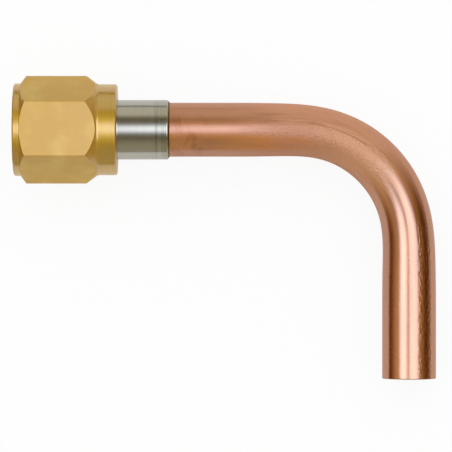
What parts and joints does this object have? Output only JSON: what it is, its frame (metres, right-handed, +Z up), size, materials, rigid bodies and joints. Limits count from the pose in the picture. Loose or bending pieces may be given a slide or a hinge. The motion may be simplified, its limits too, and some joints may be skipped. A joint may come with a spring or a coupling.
{
  "type": "elbow fitting",
  "caption": "Bent copper tube elbow for refrigeration pipework, brazed into a steel nipple with a captive hexagon union nut.",
  "frame": {"origin": "centre of the fitting's box, on the ground that it lies on", "axes": "+X runs from the nut to the bend, the free leg of the tube points to -Y, +Z is up from the ground. The nut's axis slopes down towards the bend by 3.6 degrees, because the nut is thicker than the tube"},
  "size_m": [0.1, 0.0712, 0.0231],
  "materials": {
    "nut_brass": "turned from bar, satin",
    "nipple_steel": "fine turned",
    "cone_copper": "soft pressed copper",
    "tube_copper": "drawn copper, bright",
    "braze_metal": "flowed, dull"
  },
  "bodies": {
    "elbow": {"flare_nipple": "nipple_steel", "sealing_cone": "cone_copper", "copper_tube": "tube_copper", "braze_ring": "braze_metal"},
    "nut": {"union_nut": "nut_brass"}
  },
  "joints": [
    {"name": "nut_swivel", "type": "hinge", "parent": "elbow", "child": "nut", "pos_m": [-0.03712, 0.02296, 0.01144], "axis": [-0.998, 0, 0.0628], "continuous": true}
  ]
}
